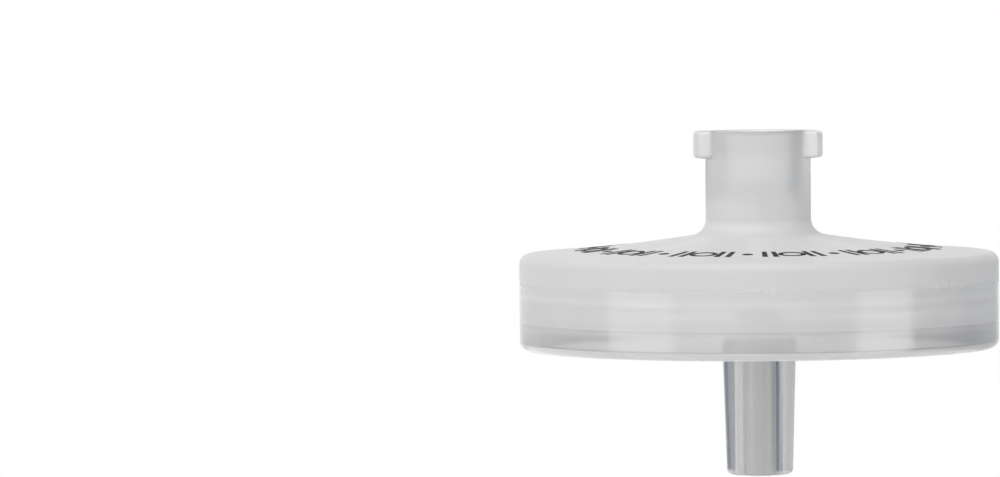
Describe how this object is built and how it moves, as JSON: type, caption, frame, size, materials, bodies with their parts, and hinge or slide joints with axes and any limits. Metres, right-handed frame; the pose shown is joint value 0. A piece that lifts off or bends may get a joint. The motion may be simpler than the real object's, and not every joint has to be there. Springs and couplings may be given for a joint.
{
  "type": "syringe filter",
  "caption": "Round disc syringe filter in translucent plastic, with a lugged luer lock socket on top, a male luer outlet below and a flat membrane sealed inside.",
  "frame": {"origin": "centre of the inlet socket's mouth, where the syringe's tip goes in", "axes": "+Z along the filter's axis, out of the inlet socket towards the syringe; the two lugs stand out along X; the gate mark is on the +Y side"},
  "size_m": [0.0286, 0.0286, 0.0206],
  "materials": {
    "natural_pp": "satin",
    "clear_pp": "satin",
    "ptfe": "matte",
    "print_ink": "matte"
  },
  "bodies": {
    "root": {"inlet_housing": "natural_pp", "membrane": "ptfe", "outlet_housing": "clear_pp"}
  },
  "joints": []
}
